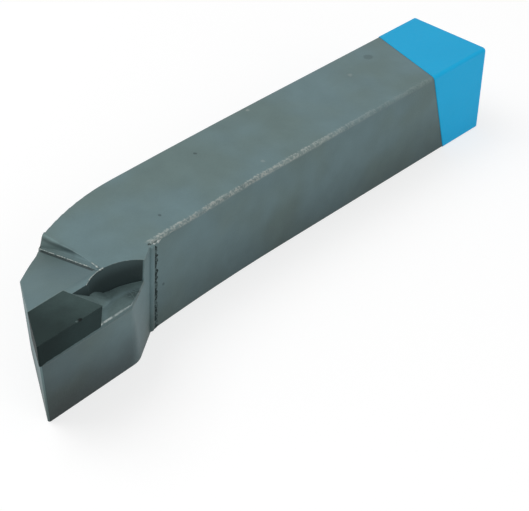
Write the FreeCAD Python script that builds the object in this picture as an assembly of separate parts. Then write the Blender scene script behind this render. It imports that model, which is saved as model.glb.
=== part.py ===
import FreeCAD, Part
import math
import os

# Brazed lathe tool, right-hand offset pattern: a square steel shank with a bent head,
# a carbide tip brazed into a seat on the head, and a dipped paint coat on the butt end.
# Millimetres and degrees. The tool lies on its base at Z = 0 with its tip at -Y, the
# cutting edge on the +X side, and X = 0 on the shank's centre line. The origin is on
# the base, half-way along the tool.

# Shank
shank_width = 16.0
shank_height = 16.0
tool_length = 110.0
edge_radius = 0.25
ridge_radius = 0.5
butt_chamfer = 0.2

# Bend of the shank's back side, which a long slight curve leads into, measured from the tip
lead_start = 69.8
lead_radius = 1500.0
bend_start = 35.1
bend_radius = 43.0
bend_angle = 33.3

# Slight swelling of the cutting side before the head, measured from the tip
flare_start = 57.0
flare_radius = 380.0

# Shoulder of the head on the cutting side, measured from the tip
shoulder_start = 27.75
shoulder_angle = 33.0
shoulder_lean = 0.8
shoulder_base_radius = 3.5
shoulder_top_radius = 1.2
corner_groove_radius = 0.45

# Carbide tip, and how its seat is turned and raked on the head
tip_length = 12.0
tip_width = 8.0
tip_thickness = 4.0
tip_nose_radius = 0.2
tip_reach = 16.77
edge_angle = 2.3
side_rake = 11.0
front_angle = 31.7

# Clearance angles, and the tip's overhang past the steel below it
tip_side_clearance = 7.0
tip_front_clearance = 3.0
steel_side_clearance = 9.5
steel_front_clearance = 4.0
tip_overhang = 0.2
steel_nose_radius = 0.3

# Braze under, beside and behind the tip
braze_gap = 0.15
ramp_width = 5.4
ramp_length = 9.5
ramp_end_height = 0.05
waist_width = 3.3
waist_height = 1.85
waist_back = 4.0
tail_height = 0.55
tail_back = 6.5

# Step from the ground head top up to the shank top, measured from the tip's back
step_distance = 6.5
step_radius = 0.85
groove_width = 0.3
groove_depth = 0.15

# Relief pocket behind the tip: its cutter's radius and place, and the stop it leaves
pocket_radius = 7.35
pocket_across = 7.7
pocket_back = 7.0
pocket_extra_depth = 0.35
stop_width = 1.4

# Paint coat on the butt end, dipped askew
paint_thickness = 0.1
paint_feather_angle = 45.0
dip_depth = 10.1
dip_tilt_across = 15.7
dip_tilt_upright = 16.6

# How far stock and cutters run on past the finished steel
run_out = 40.0
head_lap = 2.5

X_AXIS = FreeCAD.Vector(1, 0, 0)
Y_AXIS = FreeCAD.Vector(0, 1, 0)
Z_AXIS = FreeCAD.Vector(0, 0, 1)

butt_y = tool_length / 2
tip_y = -tool_length / 2
half_width = shank_width / 2


def tan(degrees):
    return math.tan(math.radians(degrees))


def sin(degrees):
    return math.sin(math.radians(degrees))


def cos(degrees):
    return math.cos(math.radians(degrees))


def vec(x, y, z=0.0):
    return FreeCAD.Vector(x, y, z)


def block(x0, x1, y0, y1, z0, z1):
    return Part.makeBox(x1 - x0, y1 - y0, z1 - z0, vec(x0, y0, z0))


def behind(point, outward):
    """All the room behind a face that passes through the point and looks outward."""
    size = tool_length + run_out
    room = block(-size, size, -size, size, -size, 0)
    room.Placement = FreeCAD.Placement(point, FreeCAD.Rotation(Z_AXIS, outward))
    return room


def leaning(outward, clearance):
    """The normal of a face that looks outward and falls back by its clearance angle."""
    return outward * cos(clearance) - Z_AXIS * sin(clearance)


def foot(point, outward, clearance):
    """A point of such a face in the base plane, below the given one."""
    return point - outward * (point.z * tan(clearance)) - Z_AXIS * point.z


def crossing(point, along, other, other_along):
    """Where two lines in the base plane cross."""
    across = other_along.cross(Z_AXIS)
    return point + along * ((other - point).dot(across) / along.dot(across))


def edge_near(edges, point):
    spot = Part.Vertex(point)
    return min(edges, key=lambda edge: edge.distToShape(spot)[0])


def upright_edges(shape):
    return [edge for edge in shape.Edges if edge.BoundBox.ZLength > shape.BoundBox.ZLength / 2]


def edges_along(shape, lines, level):
    """The shape's edges that run along these lines of the base plane, raised to a level."""
    middles = [line.value((line.FirstParameter + line.LastParameter) / 2) for line in lines]
    return [edge_near(shape.Edges, middle + Z_AXIS * level) for middle in middles]


def arc(start, centre, turn):
    """An arc in the base plane from its start about its centre, counter-clockwise."""
    spoke = start - centre
    points = [centre + FreeCAD.Rotation(Z_AXIS, turn * share).multVec(spoke) for share in (0.5, 1.0)]
    return Part.Arc(start, points[0], points[1])


# The head is ground in a frame of its own: x runs up the rake to the cutting edge, y back
# along the cutting edge and z out of the rake face. Its zero is the tip's inner back
# corner, level with the shank's top and placed so that the tip ends the tool's length.
seat_turn = FreeCAD.Rotation(Z_AXIS, edge_angle) * FreeCAD.Rotation(Y_AXIS, -side_rake)
seat_zero = vec(tip_reach, tip_y) - seat_turn.multVec(vec(tip_width, -tip_length))
seat_zero.z = shank_height
seat_frame = FreeCAD.Placement(seat_zero, seat_turn)
tip_point = seat_frame.multVec(vec(tip_width, -tip_length))
seat_floor = -tip_thickness - braze_gap
pocket_floor = seat_floor - pocket_extra_depth

# The plane down to which the butt end was dipped: a point of it, and which way it looks
dip_point = vec(0, butt_y - dip_depth, shank_height / 2)
dip_out = vec(-tan(dip_tilt_across), -1, -tan(dip_tilt_upright))

# The two clearance faces, seen from above: which way they look and run
side_out = vec(cos(edge_angle), sin(edge_angle))
side_along = vec(-sin(edge_angle), cos(edge_angle))
front_out = vec(-sin(front_angle), -cos(front_angle))
front_along = vec(-cos(front_angle), sin(front_angle))

# The steel's side starts inside the tip's lower edge, its front at the tip's own edge
tip_drop = tip_thickness * cos(side_rake)
steel_inset = tip_overhang + tip_drop * tan(tip_side_clearance)
steel_side_point = tip_point - side_out * steel_inset - Z_AXIS * tip_drop
side_foot = foot(steel_side_point, side_out, steel_side_clearance)
front_foot = foot(tip_point, front_out, steel_front_clearance)

# The bar's back side: a long lead-in curve, the bend, and a straight run to a nose past the tip
lead_turn = math.degrees(math.asin((lead_start - bend_start) / lead_radius))
lead_centre = vec(lead_radius - half_width, tip_y + lead_start)
lead_spoke = vec(cos(lead_turn), sin(lead_turn))
bend_centre = lead_centre - lead_spoke * (lead_radius - bend_radius)
bend_end = bend_centre - vec(cos(bend_angle), sin(bend_angle)) * bend_radius
nose_y = tip_y - head_lap
nose = vec(bend_end.x + (bend_end.y - nose_y) * tan(bend_angle), nose_y)

# The shoulder starts where the swelled side of the shank ends, and leans in towards its foot
flare_turn = math.degrees(math.asin((flare_start - shoulder_start) / flare_radius))
flare_slope = vec(sin(flare_turn), -cos(flare_turn))
shoulder_top = vec(half_width + flare_radius * (1 - cos(flare_turn)), tip_y + shoulder_start, shank_height)
shoulder_along = vec(sin(shoulder_angle), -cos(shoulder_angle))
shoulder_out = vec(cos(shoulder_angle), sin(shoulder_angle))
shoulder_foot = crossing(
    foot(shoulder_top, shoulder_out, shoulder_lean),
    shoulder_along,
    shoulder_top - Z_AXIS * shank_height,
    flare_slope,
)


def on_seat(shape):
    placed = shape.copy()
    placed.Placement = seat_frame
    return placed


def make_bar():
    """The rolled bar, bent on its back side and slightly swelled on its cutting side."""
    lead = arc(vec(-half_width, tip_y + lead_start), lead_centre, lead_turn)
    bend = arc(lead.EndPoint, bend_centre, bend_angle - lead_turn)
    lap_turn = math.degrees(math.asin((flare_start - shoulder_start + head_lap) / flare_radius))
    flare_centre = vec(half_width + flare_radius, tip_y + flare_start)
    flare = arc(vec(half_width, tip_y + flare_start), flare_centre, lap_turn)
    lap_corner = vec(nose.x, flare.EndPoint.y)

    back = [
        Part.LineSegment(vec(-half_width, butt_y), lead.StartPoint),
        lead,
        bend,
        Part.LineSegment(bend.EndPoint, nose),
    ]
    inside = [Part.LineSegment(nose, lap_corner), Part.LineSegment(lap_corner, flare.EndPoint)]
    front = [flare, Part.LineSegment(flare.StartPoint, vec(half_width, butt_y))]
    butt = [Part.LineSegment(vec(half_width, butt_y), vec(-half_width, butt_y))]
    sides = [side.toShape() for side in back + inside + front + butt]
    bar = Part.Face(Part.Wire(Part.__sortEdges__(sides))).extrude(Z_AXIS * shank_height)

    bar = bar.makeFillet(ridge_radius, edges_along(bar, front, shank_height))
    plain_edges = edges_along(bar, back, 0.0) + edges_along(bar, back, shank_height)
    bar = bar.makeFillet(edge_radius, plain_edges + edges_along(bar, front, 0.0))
    butt_edges = [edge for edge in bar.Edges if edge.BoundBox.YMin > butt_y - edge_radius / 10]
    return bar.makeChamfer(butt_chamfer, butt_edges)


def make_blank():
    """The bar with its head, before the seat, the pocket and the top are cut."""
    inner_x = nose.x - head_lap
    outer_x = tip_reach + head_lap
    head = block(inner_x, outer_x, nose_y, shoulder_top.y + head_lap, 0, shank_height)
    head = head.common(behind(shoulder_top, leaning(shoulder_out, shoulder_lean)))
    head = head.common(behind(steel_side_point, leaning(side_out, steel_side_clearance)))
    blank = make_bar().fuse(head)
    blank = blank.common(behind(tip_point, leaning(front_out, steel_front_clearance))).removeSplitter()

    rear_foot = crossing(shoulder_foot, shoulder_along, side_foot, side_along)
    nose_foot = crossing(front_foot, front_along, side_foot, side_along)
    shoulder_edge = edge_near(upright_edges(blank), rear_foot)
    radii = [shoulder_base_radius, shoulder_top_radius]
    if shoulder_edge.Vertexes[0].Z > shoulder_edge.Vertexes[-1].Z:
        radii.reverse()
    blank = blank.makeFillet(radii[0], radii[1], [shoulder_edge])
    return blank.makeFillet(steel_nose_radius, [edge_near(upright_edges(blank), nose_foot)])


def corner_cutter():
    """The groove down the shoulder's inner corner."""
    corner = shoulder_top - shoulder_foot
    return Part.makeCylinder(corner_groove_radius, corner.Length, shoulder_foot, corner)


def step_cutter():
    """The wheel that grinds the head's top: a flat, a fine groove and a rounded wall."""
    wall = step_distance + step_radius
    round_start = vec(0, step_distance, 0)
    round_middle = vec(0, step_distance + step_radius * sin(45), step_radius * (1 - cos(45)))
    round_end = vec(0, wall, step_radius)
    corners = [
        round_end,
        vec(0, wall, run_out),
        vec(0, -run_out, run_out),
        vec(0, -run_out, 0),
        vec(0, step_distance - groove_width, 0),
        vec(0, step_distance - groove_width / 2, -groove_depth),
        round_start,
    ]
    edges = [Part.makeLine(corners[i], corners[i + 1]) for i in range(len(corners) - 1)]
    edges.append(Part.Arc(round_start, round_middle, round_end).toShape())
    profile = Part.Face(Part.Wire(edges))
    profile.translate(X_AXIS * -run_out)
    return on_seat(profile.extrude(X_AXIS * (2 * run_out)))


def seat_room():
    return block(-braze_gap, run_out, -run_out, braze_gap, seat_floor, run_out)


def pocket_room():
    """The relief behind the seat: a straight run past the stop, ended by a round cut."""
    run = block(stop_width, run_out, 0, pocket_back, pocket_floor, run_out)
    end = Part.makeCylinder(pocket_radius, run_out, vec(pocket_across, pocket_back, pocket_floor))
    return run.fuse(end)


def make_shank(blank):
    """The shank. Its sides are parted at the paint's edge, so each bare face ends there."""
    shank = blank
    for cutter in (corner_cutter(), step_cutter(), on_seat(seat_room()), on_seat(pocket_room())):
        shank = shank.cut(cutter)
    shank = shank.removeSplitter()
    dipped = behind(dip_point, dip_out)
    return shank.cut(dipped).fuse(shank.common(dipped))


def make_tip():
    """The carbide tip: a rectangular blank, ground back to the two clearance faces."""
    tip = on_seat(block(0, run_out, -run_out, 0, -tip_thickness, 0))
    tip = tip.common(behind(tip_point, leaning(side_out, tip_side_clearance)))
    tip = tip.common(behind(tip_point, leaning(front_out, tip_front_clearance)))
    return tip.makeFillet(tip_nose_radius, [edge_near(upright_edges(tip), tip_point)])


def ramp_room():
    """The braze drawn out behind the tip: it falls from the rake face to the pocket's floor
    and narrows, steeply at first and then slowly along the pocket's wall."""
    stations = [
        (0.0, ramp_width, -pocket_floor),
        (waist_back, waist_width, waist_height),
        (tail_back, waist_width, tail_height),
        (ramp_length, waist_width, ramp_end_height),
    ]
    sections = []
    for back, width, height in stations:
        rise = height * width / (width - stop_width)
        corners = [
            vec(0, back, pocket_floor),
            vec(width, back, pocket_floor),
            vec(0, back, pocket_floor + rise),
        ]
        sections.append(Part.makePolygon(corners + corners[:1]))
    return Part.makeLoft(sections, True, True)


def make_braze(blank):
    """The braze: a bed and two thin walls round the tip, and a ramp behind it."""
    layer = block(-braze_gap, run_out, -run_out, braze_gap, seat_floor, 0)
    layer = layer.cut(block(0, run_out, -run_out, 0, -tip_thickness, run_out))
    layer = layer.cut(block(stop_width, run_out, 0, run_out, seat_floor, run_out))
    ramp = pocket_room().common(ramp_room())
    return on_seat(layer.fuse(ramp)).common(blank).removeSplitter()


def make_paint(bar):
    """The paint coat round the butt end, with the edge that a tilted dip leaves: on each
    side of the bar the coat thins out to nothing at the line where the dip plane cuts it."""
    skin = half_width + paint_thickness
    top = shank_height + paint_thickness
    coat = block(-skin, skin, 0, butt_y + paint_thickness, -paint_thickness, top)
    for x, z, radius in (
        (skin, top, ridge_radius),
        (skin, -paint_thickness, edge_radius),
        (-skin, top, edge_radius),
        (-skin, -paint_thickness, edge_radius),
    ):
        long_edge = edge_near(coat.Edges, vec(x, butt_y / 2, z))
        coat = coat.makeFillet(radius + paint_thickness, [long_edge])
    butt_edges = [edge for edge in coat.Edges if edge.BoundBox.YMin > butt_y]
    coat = coat.makeChamfer(butt_chamfer, butt_edges)
    coat = coat.common(behind(dip_point, dip_out))
    for side, reach in ((X_AXIS, half_width), (Z_AXIS, shank_height / 2)):
        for face in (side, -side):
            slope = face.dot(dip_out)
            edge_point = dip_point + face * reach + Y_AXIS * (reach * slope)
            feathered = dip_out - face * slope + face * tan(paint_feather_angle)
            coat = coat.common(behind(edge_point, feathered))
    return coat.cut(bar).removeSplitter()


def export(name, shape):
    shape.exportStep("parts/" + name + ".step")
    box = shape.optimalBoundingBox(False)
    print(name, len(shape.Solids), "solid", round(shape.Volume, 2), "mm3", shape.isValid(), box)


os.makedirs("parts", exist_ok=True)
bar_blank = make_blank()
export("shank", make_shank(bar_blank))
export("carbide_tip", make_tip())
export("braze", make_braze(bar_blank))
export("end_paint", make_paint(bar_blank))
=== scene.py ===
"""The looks of a brazed carbide lathe tool: finishes, burrs, braze, floor, light and camera."""

import math

import bpy
import numpy as np
from mathutils import Matrix, Vector


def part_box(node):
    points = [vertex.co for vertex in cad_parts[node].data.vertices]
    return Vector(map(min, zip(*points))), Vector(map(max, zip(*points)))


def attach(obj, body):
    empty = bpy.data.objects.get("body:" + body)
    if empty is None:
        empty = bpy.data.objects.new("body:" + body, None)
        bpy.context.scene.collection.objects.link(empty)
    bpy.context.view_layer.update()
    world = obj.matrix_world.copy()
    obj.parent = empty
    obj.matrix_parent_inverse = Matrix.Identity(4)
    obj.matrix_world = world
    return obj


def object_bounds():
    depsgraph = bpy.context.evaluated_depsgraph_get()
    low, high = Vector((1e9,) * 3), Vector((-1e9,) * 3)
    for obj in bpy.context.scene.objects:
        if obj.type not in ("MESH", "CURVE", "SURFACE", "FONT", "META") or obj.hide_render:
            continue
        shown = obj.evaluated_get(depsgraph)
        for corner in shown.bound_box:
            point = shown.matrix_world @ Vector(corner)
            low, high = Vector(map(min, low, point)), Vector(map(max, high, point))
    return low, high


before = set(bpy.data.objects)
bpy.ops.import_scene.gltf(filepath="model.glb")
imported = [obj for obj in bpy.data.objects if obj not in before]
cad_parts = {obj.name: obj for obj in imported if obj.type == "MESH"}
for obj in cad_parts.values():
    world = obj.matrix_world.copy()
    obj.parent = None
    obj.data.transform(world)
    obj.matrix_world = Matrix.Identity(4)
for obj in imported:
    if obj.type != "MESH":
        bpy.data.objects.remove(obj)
cad_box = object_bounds()

MM = 0.001

# Millimetres and degrees. The shank's centre line is X = 0, its base Z = 0, the tip is at -Y
shank_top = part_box("shank")[1].z / MM
half_width = 8.0
tip_y = -55.0

# Edges of the trims that turn by more than this are sharp
sharp_angle = 50.0

# The bend of the back side: its centre and radius, seen from above
bend_centre = (35.39, -18.91)
bend_radius = 43.0

# The swelled cutting side, and the shoulder at its end, as distances from the tip
flare_start = 57.0
flare_radius = 380.0
shoulder_start = 27.75
shoulder_angle = 33.0
shoulder_lean = 0.8

# The raked seat: its zero is the tip's inner back corner, level with the shank's top
edge_angle = 2.3
side_rake = 11.0
tip_width = 8.0
tip_length = 12.0
tip_reach = 16.77
tip_thickness = 4.0
steel_inset = 0.68
steel_side_clearance = 9.5

# The step from the ground head top to the shank top, and the groove at its foot
step_foot = 6.5
step_radius = 0.85

# The relief pocket behind the tip, and how deep the braze lies in it
pocket_floor = -4.5
pool_depth = 0.40
pocket_radius = 7.35
pocket_across = 7.7
pocket_back = 7.0
stop_width = 1.4

# Camera
camera_azimuth = 42.087
camera_elevation = 36.358
camera_roll = 1.805
camera_lens = 106.66
camera_place = (144.05, -152.05, 149.44)


def seat_directions(angle, rake):
    """The seat's three directions: x up the rake, y back along the edge, z out of the face."""
    turn, lean = math.radians(angle), math.radians(rake)
    level = np.array([math.cos(turn), math.sin(turn), 0.0])
    x = math.cos(lean) * level + np.array([0.0, 0.0, math.sin(lean)])
    y = np.array([-math.sin(turn), math.cos(turn), 0.0])
    return x, y, np.cross(x, y)


def level_normal(angle, lean=0.0):
    """The direction at an angle from +X, seen from above, tipped down by the lean."""
    turn, tip = math.radians(angle), math.radians(lean)
    level = np.array([math.cos(turn), math.sin(turn), 0.0])
    return math.cos(tip) * level - np.array([0.0, 0.0, math.sin(tip)])


seat_x, seat_y, seat_z = seat_directions(edge_angle, side_rake)
seat_zero = np.array([tip_reach, tip_y, 0.0]) - tip_width * seat_x + tip_length * seat_y
seat_zero[2] = shank_top

# The flank below the cutting edge and the shoulder face: a point and the outward normal of each
flank_out = level_normal(edge_angle, steel_side_clearance)
edge_rise = tip_width * math.sin(math.radians(side_rake))
tip_drop = tip_thickness * math.cos(math.radians(side_rake))
flank_point = np.array([tip_reach, tip_y, shank_top + edge_rise - tip_drop])
flank_point = flank_point - steel_inset * level_normal(edge_angle)
shoulder_out = level_normal(shoulder_angle, shoulder_lean)
shoulder_y = tip_y + shoulder_start
shoulder_x = half_width + (flare_start - shoulder_start) ** 2 / (2 * flare_radius)
shoulder_point = np.array([shoulder_x, shoulder_y, shank_top])


def on_seat(x, y, z):
    """The points of the tool at these seat distances, given as numbers or arrays."""
    x, y, z = (np.asarray(v, float)[..., None] for v in (x, y, z))
    return seat_zero + x * seat_x + y * seat_y + z * seat_z


def face_x(point, outward, y, z):
    """How far up the rake a flat face lies at these two other seat distances."""
    away = (seat_zero - point) @ outward + y * (seat_y @ outward) + z * (seat_z @ outward)
    return -away / (seat_x @ outward)


def back_x(y, z):
    """How far down the rake the bent back side lies at these seat distances: the arc's X for
    a point's Y, found by a few rounds, since Y changes a little with the answer."""
    first_guess, rounds = -12.0, 4
    x = np.full(np.broadcast(y, z).shape, first_guess)
    for _ in range(rounds):
        place = on_seat(x, y, z)
        arc = bend_centre[0] - np.sqrt(bend_radius ** 2 - (place[..., 1] - bend_centre[1]) ** 2)
        x = x + (arc - place[..., 0]) / seat_x[0]
    return x


def mouth_x(y, z):
    """The pocket's open side at these seat distances: the nearer of flank and shoulder face."""
    return np.minimum(face_x(flank_point, flank_out, y, z),
                      face_x(shoulder_point, shoulder_out, y, z))


def uneven(share, seed, bumps):
    """A ragged line from 0 to 1 over the shares: random heights joined by straight runs."""
    heights = np.random.default_rng(seed).random(bumps)
    return np.interp(share, np.linspace(0, 1, bumps), heights)


def swell(share, ends=0.12):
    """1 along the middle of a path, rounded off to 0 at its two ends."""
    rise = np.clip(np.minimum(share, 1 - share) / ends, 0, 1)
    return np.sqrt(1 - (1 - rise) ** 2)


def skin(name, rings, material):
    """A closed skin over rings of points (rings, points, 3): quads between neighbouring rings,
    and a fan from the middle of each end ring. It is turned outwards by its signed volume."""
    count, around = rings.shape[:2]
    middles = rings[[0, -1]].mean(axis=1)
    points = np.concatenate([rings.reshape(-1, 3), middles])
    row, step = np.meshgrid(np.arange(count - 1), np.arange(around), indexing="ij")
    here, after = row * around + step, row * around + (step + 1) % around
    quads = np.stack([here, after, after + around, here + around], axis=-1).reshape(-1, 4)
    turn, last = np.arange(around), (count - 1) * around
    turned_on = (turn + 1) % around
    first_middle = np.full(around, count * around)
    first_fan = np.stack([first_middle, turned_on, turn], axis=-1)
    last_fan = np.stack([first_middle + 1, last + turn, last + turned_on], axis=-1)
    corners = np.concatenate([quads[:, [0, 1, 2]], quads[:, [0, 2, 3]], first_fan, last_fan])
    centred = points - points.mean(axis=0)
    a, b, c = (centred[corners[:, i]] for i in range(3))
    faces = quads.tolist() + first_fan.tolist() + last_fan.tolist()
    if np.einsum("ij,ij->", a, np.cross(b, c)) < 0:
        faces = [face[::-1] for face in faces]
    mesh = bpy.data.meshes.new(name)
    mesh.from_pydata((points * MM).tolist(), [], faces)
    mesh.polygons.foreach_set("use_smooth", np.ones(len(faces), bool))
    mesh.set_sharp_from_angle(angle=math.radians(sharp_angle))
    mesh.materials.append(material)
    piece = bpy.data.objects.new(name, mesh)
    bpy.context.scene.collection.objects.link(piece)
    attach(piece, "root")


def bead(name, path, side, up, widths, heights, material, around=12):
    """A run of frozen metal: ellipses round a path of points, each point of them at
    path point + width * cos(turn) * side + height * sin(turn) * up."""
    turn = np.linspace(0, 2 * np.pi, around, endpoint=False)[None, :, None]
    rings = (path[:, None] + np.cos(turn) * (widths[:, None, None] * side)
             + np.sin(turn) * (heights[:, None, None] * up))
    skin(name, rings, material)


class Value:
    """A shader socket that takes part in sums: each operator adds a Math node."""

    def __init__(self, finish, socket):
        self.finish = finish
        self.socket = socket

    def __add__(self, other):
        return self.finish.math("ADD", self, other)

    def __sub__(self, other):
        return self.finish.math("SUBTRACT", self, other)

    def __mul__(self, other):
        return self.finish.math("MULTIPLY", self, other)

    def __rsub__(self, other):
        return self.finish.math("SUBTRACT", other, self)

    __radd__ = __add__
    __rmul__ = __mul__


class Finish:
    """A material in the making. Distances in it are millimetres of the tool's own frame."""

    def __init__(self, name, metallic=0.0, specular=0.5):
        self.material = bpy.data.materials.new(name)
        self.material.use_nodes = True
        self.tree = self.material.node_tree
        self.shader = self.tree.nodes["Principled BSDF"]
        self.shader.inputs["Metallic"].default_value = metallic
        self.shader.inputs["Specular IOR Level"].default_value = specular
        self.place = self.shade(self.node("ShaderNodeTexCoord", outlet="Object"), 1 / MM)
        self.facing = self.node("ShaderNodeNewGeometry", outlet="True Normal")

    def node(self, kind, settings=None, inputs=None, outlet=0):
        """Adds a node: first its settings, then the values or links of its sockets."""
        made = self.tree.nodes.new(kind)
        for name, value in (settings or {}).items():
            setattr(made, name, value)
        for name, value in (inputs or {}).items():
            if isinstance(value, Value):
                self.tree.links.new(value.socket, made.inputs[name])
            else:
                made.inputs[name].default_value = value
        return Value(self, made.outputs[outlet])

    def math(self, operation, first, second=0.0):
        return self.node("ShaderNodeMath", {"operation": operation}, {0: first, 1: second})

    def measure(self, operation, first, second):
        """A number from two vectors: their dot product or their distance."""
        return self.node("ShaderNodeVectorMath", {"operation": operation},
                         {0: first, 1: second}, "Value")

    def along(self, direction, start=(0, 0, 0)):
        """How far a point lies past the start, measured along the direction."""
        past_zero = self.measure("DOT_PRODUCT", self.place, tuple(direction))
        return past_zero - float(np.dot(direction, start))

    def looks(self, direction):
        """The cosine of the angle between the face's normal and a direction."""
        return self.measure("DOT_PRODUCT", self.facing, tuple(direction))

    def spot(self, point, radius, unevenness=0.0):
        """1 within the radius of a point, and a soft ragged rim."""
        distance = self.measure("DISTANCE", self.place, tuple(point))
        return 1 - self.rise(distance + unevenness, 0.6 * radius, 1.2 * radius)

    def rise(self, value, low, high):
        """0 below the low value, 1 above the high one, and a smooth rise between."""
        return self.node("ShaderNodeMapRange", {"interpolation_type": "SMOOTHSTEP"},
                         {"Value": value, "From Min": low, "From Max": high})

    def near(self, value, centre, reach):
        """1 at the centre, falling smoothly to 0 at the reach on both sides."""
        return 1 - self.rise(self.math("ABSOLUTE", value - centre), 0.0, reach)

    def within(self, value, low, high, soft):
        """1 between the two values, with soft ends outside them."""
        return self.rise(value, low - soft, low) * (1 - self.rise(value, high, high + soft))

    def noise(self, size, detail=2.0, place=None, distortion=0.0):
        """Smooth noise from 0 to 1, with patches of about this size."""
        return self.node("ShaderNodeTexNoise", None,
                         {"Vector": place or self.place, "Scale": 1 / size, "Detail": detail,
                          "Distortion": distortion})

    def on_seat(self, sizes):
        """A point's three seat distances, divided by three sizes, as one place."""
        parts = [self.along(d) * (1 / s) for d, s in zip((seat_x, seat_y, seat_z), sizes)]
        return self.node("ShaderNodeCombineXYZ", None, dict(zip("XYZ", parts)))

    def mix(self, share, first, second):
        """The first colour where the share is 0, the second where it is 1."""
        return self.node("ShaderNodeMix", {"data_type": "RGBA"},
                         {0: share, 6: colour(first), 7: colour(second)}, 2)

    def shade(self, tint, factor):
        """A colour, or a place, times a number."""
        return self.node("ShaderNodeVectorMath", {"operation": "SCALE"},
                         {0: tint, "Scale": factor})

    def rounded(self, radius):
        """The normal as if edges were rounded to this radius."""
        return self.node("ShaderNodeBevel", {"samples": 8}, {"Radius": radius * MM})

    def edge(self, radius):
        """1 along edges, within about the radius of them, and 0 on flat faces."""
        plain = self.node("ShaderNodeNewGeometry", outlet="Normal")
        match = self.measure("DOT_PRODUCT", self.rounded(radius), plain)
        return self.rise(1 - match, 0.01, 0.16)

    def hollow(self, reach):
        """1 deep in corners and cavities of about the reach, and 0 on open faces."""
        open_share = self.node("ShaderNodeAmbientOcclusion", {"samples": 8, "only_local": True},
                               {"Distance": reach * MM}, "AO")
        return 1 - open_share

    def set(self, name, value):
        if isinstance(value, Value):
            self.tree.links.new(value.socket, self.shader.inputs[name])
        else:
            self.shader.inputs[name].default_value = value

    def relief(self, height, depth, edge_round=0.0):
        """Bumps of this depth, in millimetres, on a face whose edges are rounded off a little."""
        inputs = {"Height": height, "Distance": depth * MM, "Strength": 1.0}
        if edge_round:
            inputs["Normal"] = self.rounded(edge_round)
        self.set("Normal", self.node("ShaderNodeBump", None, inputs))


def colour(value):
    return value if isinstance(value, Value) else (*value, 1.0)


# Colours, linear
steel_green = (0.130, 0.191, 0.187)
steel_blue = (0.140, 0.216, 0.230)
# Worn steel, also used as the painted highlight of the ridge band
worn_steel_and_highlight = (0.33, 0.37, 0.35)
# Dark scale for real marks and residue, also used as painted shade in corners and on the pocket's
# walls
dark_scale_and_shade = (0.016, 0.026, 0.026)
crust_dark = (0.015, 0.027, 0.027)
scale_fleck = (0.100, 0.150, 0.150)
rake_front = (0.016, 0.030, 0.029)
rake_rear = (0.046, 0.076, 0.074)
carbide_side_front = (0.008, 0.019, 0.019)
carbide_side_rear = (0.019, 0.038, 0.038)
# Painted shade in the chip's pit
chip_pit_shade = (0.004, 0.007, 0.007)
chip_glint = (0.13, 0.18, 0.18)
braze_dull = (0.094, 0.142, 0.140)
braze_pale = (0.130, 0.194, 0.196)
# Painted highlight on the braze pool's floor
braze_ring_highlight = (0.185, 0.275, 0.300)
# Painted highlight along the braze bead's upper edge
braze_edge_highlight = (0.52, 0.58, 0.56)
burr_dull = (0.13, 0.19, 0.19)
burr_bright = (0.42, 0.46, 0.44)
paint_deep = (0.008, 0.410, 0.740)
paint_pale = (0.011, 0.440, 0.780)
paint_rubbed = (0.12, 0.50, 0.76)


def seat_places(finish):
    """A point's three distances on the seat."""
    return [finish.along(direction, seat_zero) for direction in (seat_x, seat_y, seat_z)]


def ridge_wear_and_highlight(finish, grain, patch):
    """The band along the top edge of the cutting side: rubbed wear and a painted highlight of
    the rounded edge. Its width coordinate runs from the distance in on the top face, below 0,
    to the distance down the side face, above 0. The side's x swells as (start - y) squared
    over twice the radius, and the band moves from the middle of the edge to the top face near
    the shoulder."""
    x = finish.along((1, 0, 0), (half_width, 0, 0))
    y = finish.along((0, 1, 0))
    z = finish.along((0, 0, 1), (0, 0, shank_top))
    past = finish.math("MAXIMUM", (tip_y + flare_start) - y, 0.0)
    x = x - past * past * (0.5 / flare_radius)
    shift = 0.35 * (1 - finish.rise(y, shoulder_y, shoulder_y + 12.0))
    across = x - z + shift + 0.7 * (grain - 0.5) + 0.5 * (patch - 0.5)
    band = finish.within(across, -0.45, 0.40, 0.30) * finish.rise(x + z, -2.2, -1.8)
    length = finish.rise(y, shoulder_y - 0.6, shoulder_y + 0.8)
    fade = 1 - finish.rise(y, 0.0, 30.0)
    strength = (0.30 + 0.70 * fade) * (0.45 + 0.55 * finish.rise(patch, 0.30, 0.60))
    return band * length * strength


def head_painted_shade(finish, x, y, z, height, cloud):
    """A factor from 0 to 1 that darkens the head's own faces, mostly painted shade: the flank
    under the cutting edge gets darker towards the nose and, as painted shade, towards the foot,
    the ground top gets painted shade towards the step, and the groove at the step's foot,
    with its painted shadow, is darkest."""
    flank = finish.rise(finish.looks(flank_out), 0.80, 0.93) * (1 - finish.rise(y, 7.5, 9.5))
    to_nose = 1 - 0.48 * (1 - finish.rise(y, -12.0, 10.0))
    # Painted shade: the flank gets darker towards the foot
    foot_shade = 1 - 0.44 * (1 - finish.rise(height + 2.0 * cloud, 0.5, 13.0))
    shades = 1 - flank * (1 - to_nose * foot_shade)

    # Painted shade on the ground top, deeper towards the step
    ground = finish.within(z, -0.3, 0.25, 0.15)
    ground = ground * (1 - finish.rise(y, 7.0, 7.5)) * (1 - finish.rise(x, 0.0, 1.0))
    shades = shades * (1 - ground * (0.10 + 0.16 * finish.rise(y, 0.0, 5.0)))
    # Painted shadow in the groove at the step's foot
    groove = finish.within(y, step_foot - 0.50, step_foot - 0.10, 0.1)
    groove = groove * finish.within(z, -0.4, 0.08, 0.1) * finish.within(x, -11.7, -0.5, 0.3)
    return shades * (1 - 0.68 * groove)


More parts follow.
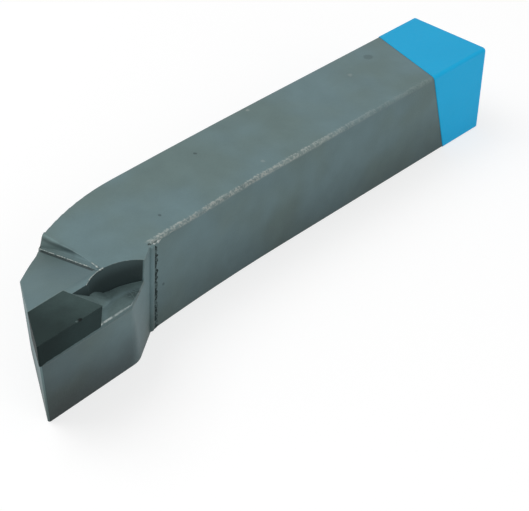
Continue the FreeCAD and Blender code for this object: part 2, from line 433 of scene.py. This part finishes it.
def pocket_shade_share(finish, x, y, z):
    """1 on the walls of the relief pocket and of the stop, which get painted shade, and
    0 on its floor and on the faces round it."""
    walls = finish.rise(z, pocket_floor + 0.1, pocket_floor + 0.4)
    walls = walls * (1 - finish.rise(z, -0.12, 0.0))
    walls = walls * (1 - finish.rise(finish.looks((0, 0, 1)), 0.5, 0.8))
    walls = walls * finish.within(y, 0.0, 14.5, 0.1) * finish.within(x, -0.2, 12.0, 0.1)
    for outward, point in ((shoulder_out, shoulder_point), (flank_out, flank_point)):
        walls = walls * (1 - finish.rise(finish.along(outward, point), -0.30, -0.10))
    return walls


def shank_steel():
    """Pickled, slightly green steel: blotches, fine grain, ground head, worn edges, a ridge band
    of wear and painted highlight, painted shade in corners, on the pocket's walls, along the
    step's wall and towards the foot, and the small marks of use."""
    finish = Finish("satin_shank_steel", metallic=0.28, specular=0.18)
    x, y, z = seat_places(finish)
    height = finish.along((0, 0, 1))
    blotch = finish.noise(14.0, 2.0)
    grain = finish.noise(0.35, 3.0)
    cloud = finish.noise(4.0, 3.0)

    tint = finish.mix(finish.rise(blotch, 0.35, 0.65), steel_green, steel_blue)
    tone = 0.80 + 0.16 * grain + 0.24 * cloud

    # Painted shade: the steel gets darker towards the foot, where less light reaches
    foot = 1 - finish.rise(height + 2.0 * cloud, -1.0, 13.0)
    tone = tone * (1 - 0.45 * foot) * head_painted_shade(finish, x, y, z, height, cloud)

    # Painted shade along the top of the step's wall
    step_wall_shade = finish.near(height + 0.8 * (cloud - 0.5), shank_top - 0.45, 0.6)
    step_wall_shade = step_wall_shade * finish.within(y, 6.3, 7.7, 0.2) * finish.within(x, -11.6, -6.0, 1.2)
    tint = finish.shade(tint, tone * (1 - 0.35 * step_wall_shade))

    # Painted shade on the pocket's walls, deepest towards the floor
    pocket_wall_shade = pocket_shade_share(finish, x, y, z) * (0.92 - 0.22 * finish.rise(z, -2.2, -0.2))
    tint = finish.mix(pocket_wall_shade, tint, dark_scale_and_shade)

    # Painted shade in corners and cavities
    corner = finish.hollow(1.0)
    tint = finish.mix(0.5 * corner, tint, dark_scale_and_shade)

    rubbed = finish.edge(0.22) * finish.rise(grain + 0.4 * cloud, 0.55, 0.85) * (1 - corner)
    # The ridge band is wear and a painted highlight of the rounded edge
    ridge = ridge_wear_and_highlight(finish, grain, finish.noise(1.4, 3.0))
    ridge = ridge * (0.35 + 0.65 * finish.rise(grain, 0.40, 0.60))
    bright = finish.math("MAXIMUM", 0.4 * rubbed, ridge)
    tint = finish.mix(bright, tint, worn_steel_and_highlight)

    for place, radius, strength, mark in steel_marks:
        tint = finish.mix(strength * finish.spot(place, radius, 0.5 * (grain - 0.5)), tint, mark)

    finish.set("Base Color", tint)
    finish.set("Roughness", 0.44 + 0.18 * grain - 0.12 * bright)
    finish.set("Metallic", 0.28 + 0.2 * bright)
    finish.relief(grain + 0.5 * cloud, 0.03, 0.12)
    return finish.material


# Pits, nicks and rubbed spots of the shank: place, radius, strength and colour
steel_marks = [
    ((-3.65, -5.55, 16.0), 0.32, 0.55, dark_scale_and_shade),
    ((-6.97, 9.9, 16.0), 0.35, 0.45, worn_steel_and_highlight),
    ((5.34, 0.49, 16.0), 0.35, 0.35, worn_steel_and_highlight),
    ((-4.57, 37.75, 16.0), 0.9, 0.30, dark_scale_and_shade),
    ((-2.68, 30.73, 16.0), 0.45, 0.30, worn_steel_and_highlight),
    ((4.68, -21.14, 16.0), 0.30, 0.50, dark_scale_and_shade),
    ((9.30, -24.7, 7.3), 0.45, 0.60, dark_scale_and_shade),
]


def ground_carbide():
    """Dark, finely ground carbide: fine lines along the edge on the sides, a paler rake face."""
    finish = Finish("ground_carbide", metallic=0.12, specular=0.06)
    y, z = finish.along(seat_y, seat_zero), finish.along(seat_z, seat_zero)
    lines = finish.noise(1.0, 2.0, finish.on_seat((0.06, 3.0, 0.06)))
    cloud = finish.noise(2.5, 3.0)
    speck = finish.noise(0.3, 2.0)
    rake = finish.rise(z, -0.12, -0.02)
    rear = finish.rise(y + 2.0 * (cloud - 0.5), -8.0, 1.0)
    face = finish.mix(rear, rake_front, rake_rear)
    side = finish.mix(finish.rise(y, -10.0, -3.0), carbide_side_front, carbide_side_rear)
    tone = 0.55 + 0.3 * lines + 0.35 * cloud + 0.25 * speck
    tint = finish.shade(finish.mix(rake, side, face), tone)
    rubbed = finish.edge(0.08) * finish.rise(cloud, 0.4, 0.6)
    tint = finish.mix(0.12 * rubbed, tint, worn_steel_and_highlight)
    # The chip's pit is darkened as painted shade, and the glint beside it is a painted highlight
    chip_place, glint_place = on_seat(7.9, -4.1, 0.0), on_seat(7.85, -4.70, 0.0)
    chip = finish.spot(chip_place, 0.34, 0.3 * (speck - 0.5))
    glint = 0.5 * finish.spot(glint_place, 0.20)
    tint = finish.mix(glint, finish.mix(chip, tint, chip_pit_shade), chip_glint)
    finish.set("Base Color", tint)
    finish.set("Roughness", 0.50 + 0.14 * lines)
    finish.relief(lines - 2.0 * chip, 0.01, 0.04)
    return finish.material


def dulled_braze():
    """Braze that ran and froze: smooth, dull, with a pale ring that is a painted highlight on
    the pocket's floor, a patch of dark residue near the wall, and painted shade in its corners."""
    finish = Finish("dulled_braze", metallic=0.40, specular=0.25)
    x, y, z = seat_places(finish)
    flow = finish.noise(1.0, 3.0, finish.on_seat((0.5, 1.6, 0.5)), distortion=0.6)
    grain = finish.noise(0.25, 3.0)
    tint = finish.mix(flow, braze_dull, braze_pale)
    tint = finish.shade(tint, 0.88 + 0.3 * grain)
    # The pale ring is a painted highlight on the curved pocket floor
    ring_across, ring_back, ring_radius = 8.0, 7.2, 5.55
    across, back = x - ring_across, y - ring_back
    distance = finish.math("SQRT", across * across + back * back)
    ring = finish.near(distance, ring_radius, 0.8) * (1 - finish.rise(z, -3.9, -3.6))
    tint = finish.mix(0.30 * ring, tint, braze_ring_highlight)
    residue_place = on_seat(4.3, 9.3, pocket_floor)
    residue = finish.spot(residue_place, 1.9, 1.2 * (grain - 0.5))
    residue = residue * finish.rise(grain, 0.35, 0.6)
    tint = finish.mix(0.6 * residue, tint, dark_scale_and_shade)
    # Painted shade in the braze's corners
    tint = finish.mix(0.35 * finish.hollow(0.8), tint, dark_scale_and_shade)
    finish.set("Base Color", tint)
    finish.set("Roughness", 0.38 + 0.2 * flow)
    finish.relief(flow + 0.2 * grain, 0.06, 0.1)
    return finish.material


def squeezed_braze():
    """Braze on the flank, ground together with the steel: its colour follows the flank's, and
    its upper edge carries a painted highlight, brightest just behind the tip."""
    finish = Finish("squeezed_braze", metallic=0.35, specular=0.25)
    y, z = finish.along(seat_y, seat_zero), finish.along(seat_z, seat_zero)
    cloud = finish.noise(1.2, 3.0)
    grain = finish.noise(0.3, 3.0)
    tint = finish.mix(cloud, steel_green, steel_blue)
    to_nose = 0.62 + 0.38 * finish.rise(y, -12.0, 6.0)
    tint = finish.shade(tint, 0.8 * to_nose * (0.85 + 0.3 * grain))
    # The bright upper line is a painted highlight on the bead's edge
    uneven_grain, upper_edge = grain - 0.5, -3.56
    line = finish.near(z + 0.10 * uneven_grain, upper_edge, 0.17)
    line = line * finish.rise(cloud + 0.3 * uneven_grain, 0.25, 0.6)
    line = line * finish.rise(y, -7.0, -1.0) * (0.45 + 0.55 * finish.near(y, 0.3, 3.5))
    tint = finish.mix(line, tint, braze_edge_highlight)
    finish.set("Base Color", tint)
    finish.set("Roughness", 0.50 - 0.1 * line)
    finish.relief(cloud + 0.4 * grain, 0.04)
    return finish.material


def rubbed_burr():
    """The bright, broken metal of a burr or a bead: light where it was rubbed, dull between."""
    finish = Finish("rubbed_burr", metallic=0.45, specular=0.3)
    patch = finish.noise(0.7, 3.0)
    grain = finish.noise(0.15, 2.0)
    bright = finish.rise(patch + 0.3 * (grain - 0.5), 0.35, 0.62)
    finish.set("Base Color", finish.mix(bright, burr_dull, burr_bright))
    finish.set("Roughness", 0.5 - 0.12 * bright)
    finish.relief(patch + 0.4 * grain, 0.04)
    return finish.material


def corner_crust():
    """The black scale that stays in the shoulder's corner: rough and matt, with grey flecks."""
    finish = Finish("corner_crust", metallic=0.1, specular=0.15)
    lump = finish.noise(0.6, 3.0)
    grain = finish.noise(0.15, 3.0)
    fleck = finish.rise(lump + 0.5 * (grain - 0.5), 0.44, 0.64)
    finish.set("Base Color", finish.mix(fleck, crust_dark, scale_fleck))
    finish.set("Roughness", 0.72 + 0.15 * grain)
    finish.relief(lump + 0.5 * grain, 0.12)
    return finish.material


def blue_paint():
    """Dipped sky-blue paint: semi-gloss, with faint dust, a soft orange peel, and painted light
    on the sides.
    """
    finish = Finish("blue_dipped_paint", specular=0.14)
    peel = finish.noise(0.9, 2.0)
    cloud = finish.noise(7.0, 2.0)
    tint = finish.mix(cloud, paint_deep, paint_pale)
    # Painted light: the sides are lightened so that they look as bright as the top
    painted_side_light = finish.math("MAXIMUM", finish.looks((1, 0, 0)), 0.0)
    tint = finish.shade(tint, 1 + 0.28 * painted_side_light)
    rubbed = finish.edge(0.15) * finish.rise(finish.noise(0.5, 3.0), 0.55, 0.75)
    tint = finish.mix(0.3 * rubbed, tint, paint_rubbed)
    finish.set("Base Color", tint)
    finish.set("Roughness", 0.42 + 0.1 * peel)
    finish.relief(peel, 0.02, 0.15)
    return finish.material


def make_step_facing(material):
    """The steel left standing in front of the step's wall at its outer end. Each ring is the
    wall's section: a quarter round at the foot, the wall, a soft quarter round at the top, and
    back inside the shank. Towards the back side the foot's round shrinks, the top's grows, and
    the foot bulges out by the cube of the nearness to the end. The inner end sinks in."""
    outer, inner, end = -12.1, -6.0, -4.8
    proud, deep, foot_bulge = 0.01, -3.4, 0.62
    foot_last, top_first, top_last, ring_points = 9, 10, 18, 22
    reach, point = np.meshgrid(np.linspace(0, 1, 56), np.arange(ring_points), indexing="ij")
    x = outer + (end - outer) * reach
    stands = np.clip((inner - x) / (inner - outer), 0, 1)
    sink = 0.5 * np.clip((x - inner) / (end - inner), 0, 1)
    top = -x * math.tan(math.radians(side_rake))
    radius = np.minimum(step_radius + 0.02 - (step_radius - 0.30) * stands, 0.8 * top)
    soft = 0.02 + 0.70 * stands
    swing = np.pi / 2 * np.clip(point / foot_last, 0, 1)
    over = np.pi / 2 * np.clip((point - top_first) / (top_last - top_first), 0, 1)
    back = step_foot + proud + radius * np.sin(swing) + soft * (1 - np.cos(over))
    rise = radius * (1 - np.cos(swing)) + soft * np.sin(over)
    rise = rise + (point >= top_first) * (top - soft - radius)

    # The last three points lie inside the shank: below the top, deep down, and under the foot
    inside = point > top_last
    back = np.where(inside, step_foot + step_radius + 0.4, back)
    back = np.where(point == ring_points - 1, step_foot + proud, back) + sink
    rise = np.where(inside, np.where(point == top_last + 1, top - proud, deep), rise) - sink
    bulge = foot_bulge * (1 - reach) ** 3 * np.clip(1 - rise / top, 0, 1) ** 1.7
    bulge = np.where(inside, -0.03, bulge)
    edge = back_x(back, rise)
    across = edge + reach * (end - edge) - bulge
    skin("step_facing", on_seat(across, back, rise), material)


def make_step_burr(material):
    """The burr pushed out over the back side by the wheel that ground the head: flat ellipses
    along the ground top's outer edge, widest at the step and fading out ahead of it."""
    share, length, level = np.linspace(0, 1, 60), 3.2, -0.20
    back = step_foot + 0.5 - length * share
    fade = (1 - share) ** 1.15 * swell(share, 0.1)
    widths = 0.05 + 0.85 * fade * (0.8 + 0.35 * uneven(share, 3, 16))
    heights = 0.03 + 0.17 * fade
    path = on_seat(back_x(back, 0.0) + 0.1, back, level)
    bead("step_burr", path, -seat_x, seat_z, widths, heights, material)


def make_groove_burr(material):
    """The fine bright burr along the upper edge of the groove: circles of ragged size on a
    straight line."""
    share = np.linspace(0, 1, 240)
    outer, inner = float(back_x(step_foot, 0.0)) - 0.5, -1.2
    size = (0.035 + 0.075 * uneven(share, 5, 90)) * swell(share, 0.03)
    path = on_seat(outer + (inner - outer) * share, step_foot + 0.02, 0.03)
    bead("groove_burr", path, seat_y, seat_z, size, size, material, 8)


def make_pocket_burr(material):
    """The burr round the pocket's mouth: circles of ragged size along the cutter's circle, on
    the ground top or, on the cutting side of the seat's zero, on the shank's level top."""
    share, first_turn, last_turn = np.linspace(0, 1, 120), 176, 213
    turn = np.radians(first_turn + (last_turn - first_turn) * share)
    size = (0.05 + 0.13 * uneven(share, 8, 26) ** 2) * swell(share, 0.08)
    radius = pocket_radius + 0.04
    across = pocket_across + radius * np.cos(turn)
    back = pocket_back + radius * np.sin(turn)
    level = np.minimum(0.0, -across * math.tan(math.radians(side_rake)))
    path = on_seat(across, back, level)
    bead("pocket_burr", path, seat_x, seat_z, size, size, material, 8)


def make_step_end_burr(material):
    """The blob of burr where the step runs out into the pocket's mouth: circles of ragged
    size on a line that falls forward."""
    share = np.linspace(0, 1, 60)
    size = (0.05 + 0.15 * uneven(share, 12, 12)) * swell(share, 0.15)
    path = on_seat(-1.9 + 1.9 * share, 7.25 - 0.35 * share, 0.36 - 0.30 * share)
    bead("step_end_burr", path, seat_y, seat_z, size, 0.8 * size, material, 8)


def make_seam_bead(material):
    """The braze squeezed out along the flank under the tip, and on behind it to the shoulder:
    flat ellipses standing on the flank's top edge."""
    share, front, length = np.linspace(0, 1, 320), -11.1, 20.4
    back = front + length * share
    level = -3.93 + 0.05 * uneven(share, 21, 40)
    ends = swell(share, 0.06) * (1 - 0.75 * np.clip((back - 4.0) / 5.0, 0, 1))
    heights = (0.40 + 0.07 * uneven(share, 22, 60)) * ends
    widths = (0.24 + 0.05 * uneven(share, 23, 70)) * ends
    path = on_seat(mouth_x(back, level) + 0.02, back, level)
    bead("seam_bead", path, flank_out, seat_z, widths, heights, material, 14)


def make_braze_pool(material):
    """The braze that flooded the pocket's floor: a thin layer between the stop or the round
    wall on one side and the flank or the shoulder on the other. Its top is the level plus the
    product of two low sine waves, and it climbs at both rims by a falling exponential. Each
    ring runs over the top from the wall to the open side, and back inside the floor."""
    front, rear, top_last, ring_points = 0.16, 12.6, 20, 26
    back, point = np.meshgrid(np.linspace(front, rear, 90), np.arange(ring_points), indexing="ij")
    level = pocket_floor + pool_depth
    reach = np.sqrt(np.clip(pocket_radius ** 2 - (back - pocket_back) ** 2, 0, None))
    wall = pocket_across - reach
    wall = np.where(back < pocket_back, np.minimum(stop_width, wall), wall)
    outer = mouth_x(back, level) - 0.03
    inner = np.minimum(wall + 0.01, outer - 0.02)
    over, under = np.clip(point / top_last, 0, 1), np.clip((point - top_last - 1) / 4, 0, 1)
    across = inner + (outer - inner) * np.where(point > top_last, 1 - under, over)
    swirl = 0.06 * np.sin(0.9 * across + 0.55 * back) * np.sin(0.5 * back - 0.35 * across + 0.8)
    rim = 0.10 * np.exp(-(outer - across) / 0.35) + 0.10 * np.exp(-(across - inner) / 0.4)
    height = np.where(point > top_last, pocket_floor - 0.03, level + swirl + rim)
    skin("braze_pool", on_seat(across, back, height), material)


def down_the_corner(height, out_x, back_y):
    """The line of the shoulder's inner corner at these heights, moved by two distances along
    X and Y. The lean draws it in and forward in proportion to the drop from the top."""
    drawn_in, drawn_forward = 0.1, 1.9
    drop = (shank_top - height) * math.tan(math.radians(shoulder_lean))
    x = shoulder_x + out_x - drawn_in * drop
    y = shoulder_y + back_y - drawn_forward * drop
    return np.stack([x, y, height], axis=-1)


def make_corner_lip(material):
    """The rounded lip of steel in the shoulder's inner corner, which fills the corner's groove:
    level ellipses down the corner line, slightly uneven."""
    share, end_gap = np.linspace(0, 1, 200), 0.1
    path = down_the_corner(shank_top - end_gap - (shank_top - 2 * end_gap) * share, -0.12, 0.12)
    size = (0.56 + 0.06 * uneven(share, 41, 30)) * swell(share, 0.02)
    backward, outward = np.array([-0.26, 0.966, 0.0]), np.array([0.966, 0.26, 0.0])
    bead("corner_lip", path, backward, outward, 1.1 * size, size, material, 16)


def make_corner_scale(material):
    """The crust of scale beside the shoulder's inner corner: ragged ellipses on the side face,
    wider and prouder towards the foot."""
    share, first_height, length = np.linspace(0, 1, 260), 15.3, 15.2
    out_x = -0.02 + 0.08 * (uneven(share, 33, 50) - 0.5)
    back_y = 0.78 + 0.20 * (uneven(share, 34, 50) - 0.5)
    path = down_the_corner(first_height - length * share, out_x, back_y)
    widths = (0.36 + 0.14 * share + 0.36 * uneven(share, 31, 64)) * swell(share, 0.03)
    heights = (0.06 + 0.14 * share + 0.14 * uneven(share, 32, 70)) * swell(share, 0.03)
    backward, outward = np.array([-0.08, 0.997, 0.0]), np.array([0.997, 0.08, 0.0])
    bead("corner_scale", path, backward, outward, widths, heights, material)


def make_ridge_burr(material):
    """The bright burr where the worn ridge runs out at the shoulder: circles of ragged size
    on a line that rises backward."""
    share, length = np.linspace(0, 1, 60), 2.3
    size = (0.07 + 0.16 * uneven(share, 52, 14)) * swell(share, 0.2)
    x, y = shoulder_x - 0.02 - 0.08 * share, shoulder_y - 0.2 + length * share
    path = np.stack([x, y, shank_top - 0.42 + 0.22 * share], axis=-1)
    outward, upward = np.array([1.0, 0.0, 0.0]), np.array([0.0, 0.0, 1.0])
    bead("ridge_burr", path, outward, upward, size, size, material, 8)


def make_floor():
    """A plain pale floor, which the camera and mirrors see as nearly white, shadow and all."""
    size = 3.0
    mesh = bpy.data.meshes.new("floor")
    corners = [(-size, -size, 0), (size, -size, 0), (size, size, 0), (-size, size, 0)]
    mesh.from_pydata(corners, [], [(0, 1, 2, 3)])
    floor = bpy.data.objects.new("floor", mesh)
    bpy.context.scene.collection.objects.link(floor)
    floor.location.z = cad_box[0].z
    material = bpy.data.materials.new("pale_floor")
    material.use_nodes = True
    tree = material.node_tree
    tree.nodes.clear()
    out = tree.nodes.new("ShaderNodeOutputMaterial")
    plain = tree.nodes.new("ShaderNodeBsdfDiffuse")
    plain.inputs["Color"].default_value = (0.62, 0.62, 0.62, 1)
    shadowed = tree.nodes.new("ShaderNodeBsdfDiffuse")
    shadowed.inputs["Color"].default_value = (0.35, 0.35, 0.35, 1)
    glow = tree.nodes.new("ShaderNodeEmission")
    glow.inputs["Strength"].default_value = 0.72
    both = tree.nodes.new("ShaderNodeAddShader")
    tree.links.new(shadowed.outputs[0], both.inputs[0])
    tree.links.new(glow.outputs[0], both.inputs[1])
    pick = tree.nodes.new("ShaderNodeMixShader")
    tree.links.new(seen_rays(tree), pick.inputs[0])
    tree.links.new(plain.outputs[0], pick.inputs[1])
    tree.links.new(both.outputs[0], pick.inputs[2])
    tree.links.new(pick.outputs[0], out.inputs["Surface"])
    mesh.materials.append(material)


def seen_rays(tree):
    """1 for rays from the camera and for mirrored or refracted ones, 0 for the rest."""
    path = tree.nodes.new("ShaderNodeLightPath")
    total = path.outputs["Is Camera Ray"]
    for name in ("Is Glossy Ray", "Is Transmission Ray"):
        most = tree.nodes.new("ShaderNodeMath")
        most.operation = "MAXIMUM"
        tree.links.new(total, most.inputs[0])
        tree.links.new(path.outputs[name], most.inputs[1])
        total = most.outputs[0]
    return total


def make_world():
    """White to the eye, and a weaker even light on the tool."""
    world = bpy.data.worlds.new("studio")
    bpy.context.scene.world = world
    world.use_nodes = True
    tree = world.node_tree
    tree.nodes.clear()
    out = tree.nodes.new("ShaderNodeOutputWorld")
    lit = tree.nodes.new("ShaderNodeBackground")
    lit.inputs["Strength"].default_value = 0.35
    seen = tree.nodes.new("ShaderNodeBackground")
    for shader in (lit, seen):
        shader.inputs["Color"].default_value = (1, 1, 1, 1)
    seen.inputs["Strength"].default_value = 1.0
    pick = tree.nodes.new("ShaderNodeMixShader")
    tree.links.new(seen_rays(tree), pick.inputs[0])
    tree.links.new(lit.outputs[0], pick.inputs[1])
    tree.links.new(seen.outputs[0], pick.inputs[2])
    tree.links.new(pick.outputs[0], out.inputs["Surface"])


def make_lamp(name, direction, distance, size, power):
    """A soft square lamp at a distance in a direction from the tool, facing it."""
    light = bpy.data.lights.new(name, "AREA")
    light.shape = "SQUARE"
    light.size = size
    light.energy = power
    lamp = bpy.data.objects.new(name, light)
    bpy.context.scene.collection.objects.link(lamp)
    away = Vector(direction).normalized()
    lamp.location = away * distance
    lamp.rotation_mode = "QUATERNION"
    lamp.rotation_quaternion = (-away).to_track_quat("-Z", "Y")


def make_camera():
    """Azimuth 0 looks along +Y; the camera's back axis is the view direction turned round."""
    turn, lift, roll = (math.radians(a) for a in (camera_azimuth, camera_elevation, camera_roll))
    level = Vector((math.cos(turn), math.sin(turn), 0))
    ahead = Vector((-math.sin(turn), math.cos(turn), 0))
    back = Vector((0, 0, math.sin(lift))) - ahead * math.cos(lift)
    upright = back.cross(level)
    right = level * math.cos(roll) + upright * math.sin(roll)
    up = upright * math.cos(roll) - level * math.sin(roll)
    camera = bpy.data.objects.new("camera", bpy.data.cameras.new("camera"))
    bpy.context.scene.collection.objects.link(camera)
    camera.data.lens = camera_lens
    camera.data.clip_start = 0.01
    camera.rotation_mode = "QUATERNION"
    camera.rotation_quaternion = Matrix((right, up, back)).transposed().to_quaternion()
    camera.location = Vector(camera_place) * MM
    bpy.context.scene.camera = camera


def dress(node, material):
    """Gives a node of the tool its finish."""
    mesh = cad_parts[node].data
    if not mesh.materials:
        mesh.materials.append(material)
    for index in range(len(mesh.materials)):
        mesh.materials[index] = material


steel = shank_steel()
braze = dulled_braze()
burr = rubbed_burr()
dress("shank", steel)
dress("carbide_tip", ground_carbide())
dress("braze", braze)
dress("end_paint", blue_paint())

make_step_facing(steel)
make_step_burr(steel)
make_groove_burr(burr)
make_pocket_burr(burr)
make_step_end_burr(burr)
make_seam_bead(squeezed_braze())
make_braze_pool(braze)
make_corner_lip(steel)
make_corner_scale(corner_crust())
make_ridge_burr(burr)

make_floor()
make_world()
make_lamp("key", (-0.45, -0.35, 1.0), distance=0.7, size=0.5, power=2.35)
make_lamp("fill", (1.0, -0.2, 0.5), distance=0.7, size=0.5, power=1.15)
make_lamp("nose_light", (-0.6, -1.0, 0.25), distance=0.7, size=0.4, power=0.4)
make_camera()

bpy.context.scene.view_settings.view_transform = "Standard"
